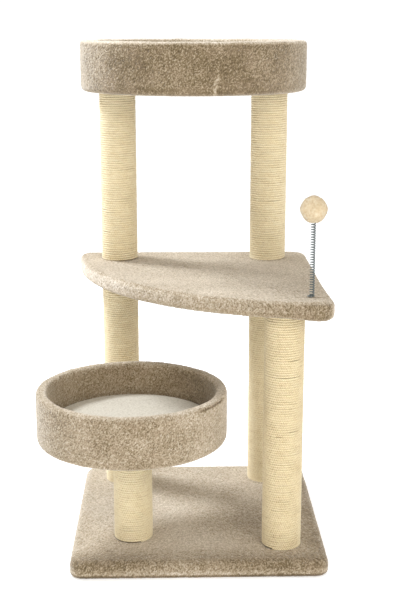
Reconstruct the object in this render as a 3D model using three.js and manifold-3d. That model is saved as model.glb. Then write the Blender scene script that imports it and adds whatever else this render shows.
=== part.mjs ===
// Cat tree: a square carpeted base, rope-wrapped posts, a quarter-circle shelf, a low round
// bowl bed on a short post, a round perch bed on top and a pompom on a coil spring.
// Millimetres, +Z up. Places are measured from the middle of the base on the floor, and the
// outer group then moves the origin to the floor under the middle of the overall box.

import * as THREE from "three";
import { mergeVertices } from "three/addons/utils/BufferGeometryUtils.js";
import Module from "manifold-3d";

const wasm = await Module();
wasm.setup();

// ---- Driving dimensions ----

const GAP = 0.3; // between pieces that touch
const CARPET = 9; // pile carpet with its backing
const EDGE_ROUND = 8; // carpet bending round a board's edge
const LINING = 2.4; // felt under the shelf and the beds
const FOLD_CORNER = 6; // inner corners of the carpet turned under the shelf

const BASE_SIDE = 610;
const BASE_CORNER = 32;
const BASE_BOARD = 25;
const BASE_FOLD = 50; // carpet turned under the board

const POST_DIAMETER = 94; // over the rope
const ROPE = 5.75;
const TUBE_WALL = 4;
const PLUG_HEIGHT = 22;

const REAR_LEFT = { x: -198, y: 212 };
const REAR_RIGHT = { x: 190.5, y: 211 };
const FRONT_RIGHT = { x: 199, y: -206 };
const BOWL_CENTRE = { x: -158, y: -157 };
const PERCH_CENTRE = { x: -3, y: 212 };

const SHELF_CORNER = { x: 298, y: 302 }; // the rear right corner, the quarter circle's centre
const SHELF_RADIUS = 604;
const SHELF_TIP = 32;
const SHELF_TOP = 662;
const SHELF_BOARD = 19;
const SHELF_FOLD = 35;

const BOWL_RADIUS = 226.5;
const BOWL_BOTTOM = 301;
const PERCH_RADIUS = 285.5;
const PERCH_BOTTOM = 1100.5;
const BED_HEIGHT = 121;
const BED_RING = 8; // bent board inside the wall
const BED_BOARD = 12;
const BED_FOLD = 36;
const BED_PAD = 21;
const BED_LIP = 11; // rounding of the rim and of the lower edge

const BOLT_RADIUS = 4;
const BOLT_BITE = 18; // how far a bolt goes into a plug
const HEAD_RADIUS = 8;
const HEAD_DEPTH = 4.5;

const TOY = { x: 255.5, y: -244 };
const COIL_RADIUS = 4.4; // to the middle of the wire
const WIRE_RADIUS = 0.8;
const COIL_PITCH = 5.7;
const COIL_GAP = 4; // between the coil's pieces, where it bends
const COIL_TOP = 842;
const FOOT_RADIUS = 6.4; // the coil's lowest turn is wider and lies on the carpet
const FOOT_RISE = 1.9;
const STAPLE_TURNS = { left: -0.5, front: -0.25 }; // where staples cross the lowest turn
const STAPLE_WIRE = 0.9;
const STAPLE_INSIDE = 2.4;
const STAPLE_DEPTH = 16;
const POMPOM_RADIUS = 31.6;
const POMPOM_HEIGHT = 862;

// ---- Levels that follow from them ----

const BASE_TOP = 2 * CARPET + BASE_BOARD;
const SHELF_BOARD_TOP = SHELF_TOP - CARPET;
const SHELF_BOARD_BOTTOM = SHELF_BOARD_TOP - SHELF_BOARD;
const SHELF_BOTTOM = SHELF_BOARD_BOTTOM - CARPET;
const POST_FOOT = BASE_TOP + GAP;
const UNDER_SHELF = SHELF_BOARD_BOTTOM - LINING - GAP;
const UNDER_BOWL = BOWL_BOTTOM + CARPET - LINING - GAP;
const UNDER_PERCH = PERCH_BOTTOM + CARPET - LINING - GAP;
const TUBE_RADIUS = POST_DIAMETER / 2 - ROPE;
const COIL_START = SHELF_TOP + GAP + WIRE_RADIUS;
const COIL_FREE = POMPOM_HEIGHT - POMPOM_RADIUS - SHELF_TOP;
const COIL_BENDS = [1, 3, 5, 7].map((k) => SHELF_TOP + (k * COIL_FREE) / 8);

// ---- How finely round shapes are divided ----

const BED_SIDES = 40;
const POST_SIDES = 24;
const BOLT_SIDES = 12;
const POMPOM_SIDES = 20;
const CORNER_STEPS = 5;
const ARC_STEPS = 24;
const ROUND_STEPS = 3;
const COIL_STEPS_PER_TURN = 8;

// ---- Materials ----

function material(color, roughness, metalness = 0) {
  return new THREE.MeshStandardMaterial({ color, roughness, metalness });
}

const carpet = material(0xb3a286, 0.95);
const fleece = material(0xddd4bf, 0.95);
const felt = material(0x8f8778, 0.95);
const sisal = material(0xe4d3a6, 0.85);
const board = material(0xc8a67a, 0.7);
const cardboard = material(0xb49268, 0.9);
const softwood = material(0xd8bd8e, 0.65);
const steel = material(0xb9bcc0, 0.4, 0.9);
const plush = material(0xecdcc6, 0.95);

// ---- Shapes ----

// Points along an arc about (x, y), both ends included.
function arc(x, y, radius, from, to, steps) {
  return Array.from({ length: steps + 1 }, (_, i) => {
    const angle = from + ((to - from) * i) / steps;
    return new THREE.Vector2(x + radius * Math.cos(angle), y + radius * Math.sin(angle));
  });
}

// A square with rounded corners about the middle of the base.
function roundedSquare(side, corner) {
  const reach = side / 2 - corner;
  const places = [[reach, reach], [-reach, reach], [-reach, -reach], [reach, -reach]];
  return places.flatMap(([x, y], i) =>
    arc(x, y, corner, (i * Math.PI) / 2, ((i + 1) * Math.PI) / 2, CORNER_STEPS));
}

// The shelf's quarter disc, moved in by inset on every side, with its three corners rounded.
function quarterDisc(inset, corner) {
  const { x, y } = SHELF_CORNER;
  const reach = SHELF_RADIUS - inset - corner;
  const tilt = Math.asin((inset + corner) / reach);
  const along = reach * Math.cos(tilt);
  const side = inset + corner;
  const half = Math.PI / 2;
  return [
    ...arc(x - side, y - side, corner, 0, half, CORNER_STEPS),
    ...arc(x - along, y - side, corner, half, 2 * half + tilt, CORNER_STEPS),
    ...arc(x, y, SHELF_RADIUS - inset, 2 * half + tilt, 3 * half - tilt, ARC_STEPS).slice(1, -1),
    ...arc(x - side, y - along, corner, 3 * half - tilt, 4 * half, CORNER_STEPS),
  ];
}

// A flat slab between two heights.
function slab(outline, low, high) {
  const shape = new THREE.Shape(outline);
  return new THREE.ExtrudeGeometry(shape, { depth: high - low, bevelEnabled: false }).translate(0, 0, low);
}

// A slab whose upper and lower edges are rounded. The outline is the slab's, moved in by the rounding.
function roundedSlab(outline, low, high, round) {
  const shape = new THREE.Shape(outline);
  const bevel = { bevelThickness: round, bevelSize: round, bevelSegments: ROUND_STEPS };
  const options = { depth: high - low - 2 * round, ...bevel };
  return new THREE.ExtrudeGeometry(shape, options).translate(0, 0, low + round);
}

// A profile of [radius, height] pairs, anticlockwise, turned about the upright line through a place.
function turned(profile, sides, place = { x: 0, y: 0 }) {
  const points = profile.map(([radius, height]) => new THREE.Vector2(radius, height));
  return new THREE.LatheGeometry(points, sides).rotateX(Math.PI / 2).translate(place.x, place.y, 0);
}

function rod(radius, low, high, sides, place) {
  return turned([[0, low], [radius, low], [radius, high], [0, high]], sides, place);
}

function pipe(outer, inner, low, high, sides, place) {
  return turned([[inner, low], [outer, low], [outer, high], [inner, high], [inner, low]], sides, place);
}

// ---- Cuts ----

function solidOf(geometry) {
  const bare = geometry.index ? geometry.toNonIndexed() : geometry.clone();
  bare.deleteAttribute("normal");
  bare.deleteAttribute("uv");
  const merged = mergeVertices(bare, 1e-3);
  const triVerts = new Uint32Array(merged.index.array);
  const vertProperties = merged.attributes.position.array;
  return new wasm.Manifold(new wasm.Mesh({ numProp: 3, vertProperties, triVerts }));
}

function geometryOf(solid) {
  const mesh = solid.getMesh();
  const geometry = new THREE.BufferGeometry();
  geometry.setAttribute("position", new THREE.BufferAttribute(mesh.vertProperties, 3));
  geometry.setIndex(new THREE.BufferAttribute(mesh.triVerts, 1));
  return geometry;
}

function cut(geometry, ...cutters) {
  return geometryOf(cutters.reduce((left, cutter) => left.subtract(solidOf(cutter)), solidOf(geometry)));
}

// ---- The object ----

const tree = new THREE.Group();

function add(name, geometry, look, group = tree) {
  const mesh = new THREE.Mesh(geometry, look);
  mesh.name = name;
  group.add(mesh);
}

// A hole for a bolt through a board or carpet.
function boltHole(place, low, high) {
  return rod(BOLT_RADIUS + 2 * GAP, low, high, BOLT_SIDES, place);
}

// The same hole with a cone at its top for a flat head that ends level with the board.
function countersunkHole(place, low, top) {
  const hole = BOLT_RADIUS + 2 * GAP;
  const mouth = HEAD_RADIUS + 2 * GAP;
  const profile = [
    [0, low], [hole, low], [hole, top - HEAD_DEPTH - GAP],
    [mouth, top - GAP], [mouth, top + 1], [0, top + 1],
  ];
  return turned(profile, BOLT_SIDES, place);
}

// A flat-headed bolt whose head ends just below top.
function flatHeadBolt(place, low, top) {
  const face = top - GAP;
  const cone = face - HEAD_DEPTH;
  const profile = [[0, low], [BOLT_RADIUS, low], [BOLT_RADIUS, cone], [HEAD_RADIUS, face], [0, face]];
  return turned(profile, BOLT_SIDES, place);
}

// A flanged bolt put in from below: its flange lies under the board.
function flangedBolt(place, under, high) {
  const head = 7.4;
  const flange = 11;
  const low = under - 7;
  const rim = under - 2;
  const profile = [
    [0, low], [head, low], [head, rim], [flange, rim],
    [flange, under - GAP], [BOLT_RADIUS, under - GAP], [BOLT_RADIUS, high], [0, high],
  ];
  return turned(profile, BOLT_SIDES, place);
}

// One post: cardboard tube, rope wound over it, and a wooden plug in each end for the bolts.
function addPost(name, place, low, high) {
  const bore = TUBE_RADIUS - TUBE_WALL;
  const hole = BOLT_RADIUS + GAP;
  const plug = bore - 2 * GAP;
  add(name + "_tube", pipe(TUBE_RADIUS, bore, low, high, POST_SIDES, place), cardboard);
  add(name + "_rope", pipe(POST_DIAMETER / 2, TUBE_RADIUS + GAP, low, high, POST_SIDES, place), sisal);
  add(name + "_bottom_plug", pipe(plug, hole, low, low + PLUG_HEIGHT, BOLT_SIDES, place), softwood);
  add(name + "_top_plug", pipe(plug, hole, high - PLUG_HEIGHT, high, BOLT_SIDES, place), softwood);
}

function addBase() {
  const feet = [
    ["rear_left", REAR_LEFT],
    ["rear_right", REAR_RIGHT],
    ["front_right", FRONT_RIGHT],
    ["bowl", BOWL_CENTRE],
  ];
  const inner = BASE_SIDE - 2 * CARPET;
  const corner = BASE_CORNER - CARPET;
  const coverOutline = roundedSquare(BASE_SIDE - 2 * EDGE_ROUND, BASE_CORNER - EDGE_ROUND);
  const cover = roundedSlab(coverOutline, 0, BASE_TOP, EDGE_ROUND);
  const room = slab(roundedSquare(inner + 2 * GAP, corner + GAP), CARPET - GAP, BASE_TOP - CARPET + GAP);
  const opening = slab(roundedSquare(inner - 2 * BASE_FOLD, corner), -1, CARPET);
  const holes = feet.map(([, place]) => boltHole(place, 1, BASE_TOP + 1));
  add("base_carpet", cut(cover, room, opening, ...holes), carpet);
  add("base_board", cut(slab(roundedSquare(inner, corner), CARPET, BASE_TOP - CARPET), ...holes), board);
  for (const [name, place] of feet) {
    add(name + "_base_bolt", flangedBolt(place, CARPET, POST_FOOT + BOLT_BITE), steel);
  }
}

function addShelf() {
  const studs = [["rear_left", REAR_LEFT], ["rear_right", REAR_RIGHT]];
  const corner = SHELF_TIP - CARPET;
  const coverOutline = quarterDisc(EDGE_ROUND, SHELF_TIP - EDGE_ROUND);
  const cover = roundedSlab(coverOutline, SHELF_BOTTOM, SHELF_TOP, EDGE_ROUND);
  const roomOutline = quarterDisc(CARPET - GAP, corner + GAP);
  const room = slab(roomOutline, SHELF_BOARD_BOTTOM - GAP, SHELF_BOARD_TOP + GAP);
  const opening = slab(quarterDisc(SHELF_FOLD, FOLD_CORNER), SHELF_BOTTOM - 1, SHELF_BOARD_BOTTOM);
  const liningOutline = quarterDisc(SHELF_FOLD + GAP, FOLD_CORNER);
  const lining = slab(liningOutline, SHELF_BOARD_BOTTOM - LINING, SHELF_BOARD_BOTTOM - GAP);
  const holes = studs.map(([, place]) => boltHole(place, SHELF_BOTTOM, SHELF_TOP + 1));
  const screwHole = countersunkHole(FRONT_RIGHT, SHELF_BOTTOM, SHELF_BOARD_TOP);
  const slots = Object.values(STAPLE_TURNS).map((turn) => stapleSlot(turn).translate(TOY.x, TOY.y, 0));
  const slabOfBoard = slab(quarterDisc(CARPET, corner), SHELF_BOARD_BOTTOM, SHELF_BOARD_TOP);
  add("shelf_carpet", cut(cover, room, opening, ...slots, ...holes), carpet);
  add("shelf_board", cut(slabOfBoard, screwHole, ...slots, ...holes), board);
  add("shelf_lining", cut(lining, boltHole(FRONT_RIGHT, SHELF_BOTTOM, SHELF_BOARD_TOP), ...holes), felt);
  for (const [name, place] of studs) {
    const stud = rod(BOLT_RADIUS, UNDER_SHELF - BOLT_BITE, SHELF_TOP + GAP + BOLT_BITE, BOLT_SIDES, place);
    add(name + "_shelf_stud", stud, steel);
  }
  add("front_right_shelf_screw", flatHeadBolt(FRONT_RIGHT, UNDER_SHELF - BOLT_BITE, SHELF_BOARD_TOP), steel);
}

// The carpet of a round bed: up the outside, over the rim, down the inside to the floor board,
// and turned under the lower edge. It leaves room for the ring and the floor board.
function bedCarpet(outer, bottom, place) {
  const inner = outer - 2 * CARPET - BED_RING;
  const top = bottom + BED_HEIGHT;
  const under = bottom + CARPET;
  const floor = under + BED_BOARD + GAP;
  const rounding = (x, y, from, to) => arc(x, y, BED_LIP, from, to, ROUND_STEPS).map((p) => [p.x, p.y]);
  const profile = [
    [outer - BED_FOLD, bottom],
    ...rounding(outer - BED_LIP, bottom + BED_LIP, -Math.PI / 2, 0),
    ...rounding(outer - BED_LIP, top - BED_LIP, 0, Math.PI / 2),
    ...rounding(inner + BED_LIP, top - BED_LIP, Math.PI / 2, Math.PI),
    [inner, floor],
    [inner + CARPET - GAP, floor],
    [inner + CARPET - GAP, top - CARPET + GAP],
    [outer - CARPET + GAP, top - CARPET + GAP],
    [outer - CARPET + GAP, under - GAP],
    [outer - BED_FOLD, under - GAP],
    [outer - BED_FOLD, bottom],
  ];
  return turned(profile, BED_SIDES, place);
}

// A flat pad with its top edge rounded.
function bedPad(radius, low, place) {
  const high = low + BED_PAD;
  const edge = arc(radius - EDGE_ROUND, high - EDGE_ROUND, EDGE_ROUND, 0, Math.PI / 2, ROUND_STEPS);
  const profile = [[0, low], [radius, low], ...edge.map((p) => [p.x, p.y]), [0, high]];
  return turned(profile, BED_SIDES, place);
}

// A round bed on one or two posts: floor board, ring, carpet, felt lining, pad and flat-head bolts.
function addBed(name, outer, bottom, place, bolts) {
  const under = bottom + CARPET;
  const floor = under + BED_BOARD;
  const ringOuter = outer - CARPET;
  const ringInner = ringOuter - BED_RING;
  const ringTop = bottom + BED_HEIGHT - CARPET;
  const lining = rod(outer - BED_FOLD - GAP, under - LINING, under - GAP, BED_SIDES, place);
  const floorBoard = rod(ringInner - 2 * GAP, under, floor, BED_SIDES, place);
  const countersinks = bolts.map(([, at]) => countersunkHole(at, under - 1, floor));
  const holes = bolts.map(([, at]) => boltHole(at, bottom, floor));
  add(name + "_carpet", bedCarpet(outer, bottom, place), carpet);
  add(name + "_ring", pipe(ringOuter, ringInner, under, ringTop, BED_SIDES, place), board);
  add(name + "_floor_board", cut(floorBoard, ...countersinks), board);
  add(name + "_lining", cut(lining, ...holes), felt);
  add(name + "_pad", bedPad(ringInner - CARPET - 4, floor + GAP, place), fleece);
  for (const [bolt, at] of bolts) {
    add(bolt, flatHeadBolt(at, under - LINING - GAP - BOLT_BITE, floor), steel);
  }
}

// A point on the coil's middle line, a number of turns above its lowest, wider turn.
function coilPoint(turns, target = new THREE.Vector3()) {
  const angle = 2 * Math.PI * turns;
  const radius = turns < 0 ? FOOT_RADIUS : COIL_RADIUS;
  const middle = COIL_RADIUS - radius;
  const height = COIL_START + (turns < 0 ? FOOT_RISE * (1 + turns) : FOOT_RISE + COIL_PITCH * turns);
  return target.set(middle + radius * Math.cos(angle), radius * Math.sin(angle), height);
}

class CoilLine extends THREE.Curve {
  constructor(from, to) {
    super();
    this.from = from;
    this.to = to;
  }

  getPoint(t, target) {
    return coilPoint(this.from + (this.to - this.from) * t, target);
  }
}

function coil(from, to) {
  const wire = new THREE.Shape(arc(0, 0, WIRE_RADIUS, 0, 1.5 * Math.PI, 3));
  const steps = Math.ceil((to - from) * COIL_STEPS_PER_TURN);
  return new THREE.ExtrudeGeometry(wire, { steps, extrudePath: new CoilLine(from, to) });
}

// Moves a shape that stands at the origin, across X, to where the coil has made some turns.
function acrossCoil(geometry, turns) {
  const at = coilPoint(turns);
  return geometry.rotateZ(2 * Math.PI * turns).translate(at.x, at.y, at.z);
}

// A staple over the coil's lowest turn, its legs through the carpet into the board.
function staple(turns) {
  const inside = STAPLE_INSIDE / 2;
  const outside = inside + STAPLE_WIRE;
  const crown = WIRE_RADIUS + GAP;
  const top = crown + STAPLE_WIRE;
  const outline = [
    [-outside, -STAPLE_DEPTH], [-inside, -STAPLE_DEPTH], [-inside, crown], [inside, crown],
    [inside, -STAPLE_DEPTH], [outside, -STAPLE_DEPTH], [outside, top], [-outside, top],
  ];
  const flat = slab(outline.map(([x, y]) => new THREE.Vector2(x, y)), -STAPLE_WIRE / 2, STAPLE_WIRE / 2);
  return acrossCoil(flat.rotateX(Math.PI / 2), turns);
}

function stapleSlot(turns) {
  const width = STAPLE_INSIDE + 2 * STAPLE_WIRE + 2 * GAP;
  const height = STAPLE_DEPTH + GAP;
  const box = new THREE.BoxGeometry(width, STAPLE_WIRE + 2 * GAP, height).translate(0, 0, -height / 2);
  return acrossCoil(box, turns);
}

// The pompom on its coil spring. The coil is five pieces, so that it can bend between them.
function addToy() {
  const toy = new THREE.Group();
  toy.position.set(TOY.x, TOY.y, 0);
  tree.add(toy);

  const edges = COIL_BENDS.flatMap((z) => [z - COIL_GAP / 2, z + COIL_GAP / 2]);
  const turns = [...edges, COIL_TOP].map((z) => (z - COIL_START - FOOT_RISE) / COIL_PITCH);
  const ends = [-1, ...turns];
  ["foot", "lower", "middle", "upper", "tip"].forEach((part, i) => {
    add("spring_" + part, coil(ends[2 * i], ends[2 * i + 1]), steel, toy);
  });
  for (const [side, turn] of Object.entries(STAPLE_TURNS)) {
    add("spring_staple_" + side, staple(turn), steel, toy);
  }

  const socket = COIL_RADIUS + WIRE_RADIUS + 4 * GAP;
  const rise = Math.acos(socket / POMPOM_RADIUS);
  const skin = arc(0, POMPOM_HEIGHT, POMPOM_RADIUS, -rise, Math.PI / 2, POMPOM_SIDES / 2);
  const crown = [0, POMPOM_HEIGHT + POMPOM_RADIUS];
  const round = skin.slice(0, -1).map((p) => [p.x, p.y]);
  const ball = [[0, COIL_TOP + 2], [socket, COIL_TOP + 2], ...round, crown];
  add("pompom", turned(ball, POMPOM_SIDES), plush, toy);
}

addBase();
addPost("rear_left_lower_post", REAR_LEFT, POST_FOOT, UNDER_SHELF);
addPost("rear_right_lower_post", REAR_RIGHT, POST_FOOT, UNDER_SHELF);
addPost("front_right_post", FRONT_RIGHT, POST_FOOT, UNDER_SHELF);
addPost("bowl_post", BOWL_CENTRE, POST_FOOT, UNDER_BOWL);
addShelf();
addPost("rear_left_upper_post", REAR_LEFT, SHELF_TOP + GAP, UNDER_PERCH);
addPost("rear_right_upper_post", REAR_RIGHT, SHELF_TOP + GAP, UNDER_PERCH);
addBed("bowl", BOWL_RADIUS, BOWL_BOTTOM, BOWL_CENTRE, [["bowl_bolt", BOWL_CENTRE]]);
addBed("perch", PERCH_RADIUS, PERCH_BOTTOM, PERCH_CENTRE, [
  ["perch_bolt_left", REAR_LEFT],
  ["perch_bolt_right", REAR_RIGHT],
]);
addToy();

// The overall box runs from the bowl's left and front to the base's right and the perch's rear.
const middleX = (BOWL_CENTRE.x - BOWL_RADIUS + BASE_SIDE / 2) / 2;
const middleY = (BOWL_CENTRE.y - BOWL_RADIUS + PERCH_CENTRE.y + PERCH_RADIUS) / 2;
tree.position.set(-middleX, -middleY, 0);
const catTree = new THREE.Group();
catTree.add(tree);

export default catTree;
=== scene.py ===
"""Cat tree: pile carpet, wound sisal rope, fleece pads, a coil spring and a fluffy pompom
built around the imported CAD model. Metres, +Z up, in the CAD model's frame."""

import math

import bpy
import numpy as np
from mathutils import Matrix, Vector


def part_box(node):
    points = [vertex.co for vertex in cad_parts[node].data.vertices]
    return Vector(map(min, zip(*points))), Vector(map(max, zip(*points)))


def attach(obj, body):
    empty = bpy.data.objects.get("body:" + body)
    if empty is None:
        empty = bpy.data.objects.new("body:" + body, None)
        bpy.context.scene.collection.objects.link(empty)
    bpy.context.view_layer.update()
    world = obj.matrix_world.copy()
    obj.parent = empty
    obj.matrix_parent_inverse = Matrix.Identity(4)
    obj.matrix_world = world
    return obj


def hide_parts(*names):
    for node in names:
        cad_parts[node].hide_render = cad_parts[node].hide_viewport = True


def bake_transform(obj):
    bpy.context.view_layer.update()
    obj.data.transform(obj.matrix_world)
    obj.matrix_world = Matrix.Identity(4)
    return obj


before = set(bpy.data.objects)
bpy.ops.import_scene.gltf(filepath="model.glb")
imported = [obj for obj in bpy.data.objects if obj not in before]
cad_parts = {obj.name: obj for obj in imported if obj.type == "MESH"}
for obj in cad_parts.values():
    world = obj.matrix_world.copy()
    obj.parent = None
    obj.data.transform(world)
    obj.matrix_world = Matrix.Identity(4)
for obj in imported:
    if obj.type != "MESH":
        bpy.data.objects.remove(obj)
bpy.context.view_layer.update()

MM = 0.001
TURN = 2 * math.pi


# ---- Places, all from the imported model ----

def centre(node):
    low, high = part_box(node)
    return np.array([(low.x + high.x) / 2, (low.y + high.y) / 2])


def levels(node):
    low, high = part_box(node)
    return low.z, high.z


def half_width(node):
    low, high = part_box(node)
    return (high.x - low.x) / 2


POSTS = [
    "rear_left_lower_post", "rear_right_lower_post", "front_right_post",
    "bowl_post", "rear_left_upper_post", "rear_right_upper_post",
]
BASE = centre("base_carpet")
CARPET = 9 * MM  # thickness with its pile
GAP = 0.3 * MM  # between pieces that touch
ROPE = 5.75 * MM  # thickness
BED_RING = 8 * MM  # bent board inside a bed's wall
SHELF_RADIUS = 604 * MM
CORNER = 32 * MM  # rounding of the base's corners and the shelf's two tips
REAR_CORNER = 44 * MM  # rounding of the shelf's rear right corner
SHARPEST = 0.4 * MM  # the least rounding where an outline is moved in


# ---- Smooth random values ----

def hashed(cells, seed):
    """A fixed random value from -1 to 1 for each whole-number cell."""
    h = cells[:, 0] * 73856093 ^ cells[:, 1] * 19349663 ^ cells[:, 2] * 83492791 ^ seed * 2654435761
    h = (h ^ (h >> 13)) * 1274126177
    h ^= h >> 16
    return (h & 0xFFFFFF) / 0x7FFFFF - 1


def noise(points, size, seed):
    """Smooth random values from -1 to 1 whose bumps are about size across."""
    cell = points / size
    base = np.floor(cell).astype(np.int64)
    part = cell - base
    part = part * part * (3 - 2 * part)
    total = np.zeros(len(points))
    for corner in np.ndindex(2, 2, 2):
        weight = np.prod(np.where(np.array(corner) == 1, part, 1 - part), axis=1)
        total += weight * hashed(base + np.array(corner), seed)
    return total


def smooth(x, low, high):
    t = np.clip((x - low) / (high - low), 0, 1)
    return t * t * (3 - 2 * t)


# ---- Meshes made of rings of points ----

def resampled(points, count, start=0.0):
    """count points evenly along a closed line, the first one start steps from its first point."""
    closed = np.vstack([points, points[:1]])
    lengths = np.linalg.norm(np.diff(closed, axis=0), axis=1)
    along = np.concatenate([[0], np.cumsum(lengths)])
    at = (np.arange(count) + start) / count * along[-1]
    return np.column_stack([np.interp(at, along, closed[:, k]) for k in range(closed.shape[1])])


def perimeter(points):
    return np.linalg.norm(points - np.roll(points, -1, axis=0), axis=1).sum()


def band(first_a, count_a, first_b, count_b):
    """Triangles between ring a and ring b, which lies outside or below it."""
    centres_a = (np.arange(count_a) + 0.5) / count_a
    centres_b = (np.arange(count_b) + 0.5) / count_b
    at_b = np.searchsorted(centres_b, centres_a)
    at_a = np.searchsorted(centres_a, centres_b, side="right")
    i, j = np.arange(count_a), np.arange(count_b)
    on_a = np.column_stack([
        first_a + i, first_b + at_b % count_b, first_a + (i + 1) % count_a,
    ])
    on_b = np.column_stack([
        first_a + at_a % count_a, first_b + j, first_b + (j + 1) % count_b,
    ])
    return np.vstack([on_a, on_b])


def fan(tip, first, count, flip):
    i = np.arange(count)
    faces = np.column_stack([np.full(count, tip), first + i, first + (i + 1) % count])
    return faces[:, ::-1] if flip else faces


def link(obj):
    bpy.context.scene.collection.objects.link(obj)
    return obj


def mesh_object(name, points, faces):
    mesh = bpy.data.meshes.new(name)
    points = np.asarray(points, np.float32)
    faces = np.asarray(faces, np.int32)
    mesh.vertices.add(len(points))
    mesh.vertices.foreach_set("co", points.ravel())
    mesh.loops.add(faces.size)
    mesh.loops.foreach_set("vertex_index", faces.ravel())
    mesh.polygons.add(len(faces))
    mesh.polygons.foreach_set("loop_start", np.arange(len(faces), dtype=np.int32) * faces.shape[1])
    mesh.polygons.foreach_set("use_smooth", np.ones(len(faces), bool))
    mesh.update(calc_edges=True)
    mesh.validate()
    return link(bpy.data.objects.new(name, mesh))


def ring_surface(rings, closed):
    """Points and triangles of a surface through rings of points. An open one ends in two tips."""
    counts = [len(r) for r in rings]
    starts = np.concatenate([[0], np.cumsum(counts)])
    points = np.vstack(rings)
    faces = [
        band(starts[k], counts[k], starts[k + 1], counts[k + 1]) for k in range(len(rings) - 1)
    ]
    if closed:
        faces.append(band(starts[len(rings) - 1], counts[-1], starts[0], counts[0]))
    else:
        tips = [rings[0].mean(axis=0), rings[-1].mean(axis=0)]
        faces.append(fan(len(points), starts[0], counts[0], False))
        faces.append(fan(len(points) + 1, starts[len(rings) - 1], counts[-1], True))
        points = np.vstack([points, tips])
    return points, np.vstack(faces)


def fine_profile(stretches):
    """Points of a profile. Each stretch is its corner points, the step between points and how
    much pile it has, from 0 to 1. Gives (sideways, height, step, pile) rows."""
    rows = []
    for corners, step, pile in stretches:
        corners = np.asarray(corners, float)
        lengths = np.linalg.norm(np.diff(corners, axis=0), axis=1)
        along = np.concatenate([[0], np.cumsum(lengths)])
        count = max(1, round(along[-1] / step))
        at = np.arange(count) / count * along[-1]
        for a in at:
            rows.append([
                np.interp(a, along, corners[:, 0]), np.interp(a, along, corners[:, 1]), step, pile,
            ])
    return rows


def arc(x, y, radius, start, end, steps=12):
    angles = np.radians(np.linspace(start, end, steps + 1))
    return [(x + radius * math.cos(a), y + radius * math.sin(a)) for a in angles]


# ---- Outlines, moved in by inset ----

def rounded_square(inset):
    side = half_width("base_carpet") - inset
    corner = max(CORNER - inset, SHARPEST)
    reach = side - corner
    points = [(side, 0)]
    for quarter, (x, y) in enumerate([(1, 1), (-1, 1), (-1, -1), (1, -1)]):
        points += arc(x * reach, y * reach, corner, 90 * quarter, 90 * quarter + 90)
    return np.array(points) + BASE


def quarter_disc(inset):
    """The shelf's outline. It starts in the middle of its rear right corner."""
    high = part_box("shelf_carpet")[1]
    corner = max(CORNER - inset, SHARPEST)
    rear = max(REAR_CORNER - inset, SHARPEST)
    side = inset + corner
    reach = SHELF_RADIUS - side
    tilt = math.degrees(math.asin(side / reach))
    along = reach * math.cos(math.radians(tilt))
    x, y = high.x, high.y
    points = arc(x - inset - rear, y - inset - rear, rear, 45, 90)
    points += arc(x - along, y - side, corner, 90, 180 + tilt)
    points += arc(x, y, SHELF_RADIUS - inset, 180 + tilt, 270 - tilt, 90)[1:-1]
    points += arc(x - side, y - along, corner, 270 - tilt, 360)
    points += arc(x - inset - rear, y - inset - rear, rear, 0, 45)[:-1]
    return np.array(points)


CIRCLE_POINTS = 720


def circle(middle, radius):
    angles = np.arange(CIRCLE_POINTS) / CIRCLE_POINTS * TURN
    return middle + radius * np.column_stack([np.cos(angles), np.sin(angles)])


# ---- Pile carpet ----

HIDDEN = 14 * MM  # between points where nobody sees the carpet
BED_FOLD = 36 * MM  # carpet turned under a bed, from its outside
FEWEST = 8  # points in the smallest ring

# How far the pile stands out or sinks in, in millimetres.
TUFT_RISE = 1.25
WAVE_RISE = 0.55
ROUND_POST_RISE = 2.0
UNDER_POST_SINK = 0.9

SUNK_SHARE = 0.62  # share of a tuft's height that lies below the carpet's middle surface
STRAY = 0.9  # how far a tuft strays along the surface, in steps between points


def carpet_piece(name, profile, outline, closed, amount, press, seed):
    """A carpet from a profile of (sideways, height, step, pile) rows and a closed outline.
    amount gives how big the tufts are, how light they are (random tone plus painted light and shade)
    and how far the pile stands out.
    press gives how much posts press the pile flat, and how much it stands up round them."""
    random = np.random.default_rng(seed)
    rings, steps, piles = [], [], []
    for row, (sideways, height, step, pile) in enumerate(profile):
        line = outline(sideways)
        count = max(FEWEST, round(perimeter(line) / step))
        ring = resampled(line, count, row % 2 / 2)
        rings.append(np.column_stack([ring, np.full(count, height)]))
        steps.append(np.full(count, step))
        piles.append(np.full(count, pile))
    points, faces = ring_surface(rings, closed)
    spare = len(points) - sum(len(r) for r in rings)
    steps = np.concatenate(steps + [np.full(spare, steps[0][0])])
    piles = np.concatenate(piles + [np.zeros(spare)])
    obj = mesh_object(name, points, faces)
    normals = np.zeros(len(points) * 3, np.float32)
    obj.data.vertices.foreach_get("normal", normals)
    normals = normals.reshape(-1, 3)

    tuft = random.random(len(points))
    wide = noise(points, 9 * MM, seed) * 0.5 + noise(points, 28 * MM, seed + 1) * 0.5
    extra, tone, swell = amount(points, normals)
    held, hugged = press(points)
    lift = ((tuft - SUNK_SHARE) * TUFT_RISE * extra + wide * WAVE_RISE + hugged * ROUND_POST_RISE) * MM
    lift = (lift * piles + swell * (piles > 0)) * (1 - held) - UNDER_POST_SINK * MM * held
    along = (random.random(points.shape) - 0.5) * STRAY * steps[:, None]
    along -= normals * (along * normals).sum(axis=1)[:, None]
    points = points + normals * lift[:, None] + along * (piles * (1 - held * 0.5))[:, None]
    points[:, 2] = np.maximum(points[:, 2], 0)
    obj.data.vertices.foreach_set("co", points.astype(np.float32).ravel())
    # The pile value darkens low tufts and pile pressed under the posts, as painted shade; tone is
    # random tone plus painted light and shade.
    for key, values in (("pile", tuft * piles * (1 - 0.6 * held)), ("tone", tone)):
        layer = obj.data.attributes.new(key, "FLOAT", "POINT")
        layer.data.foreach_set("value", values.astype(np.float32))
    obj.data.update()
    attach(obj, "root")
    return obj


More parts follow.
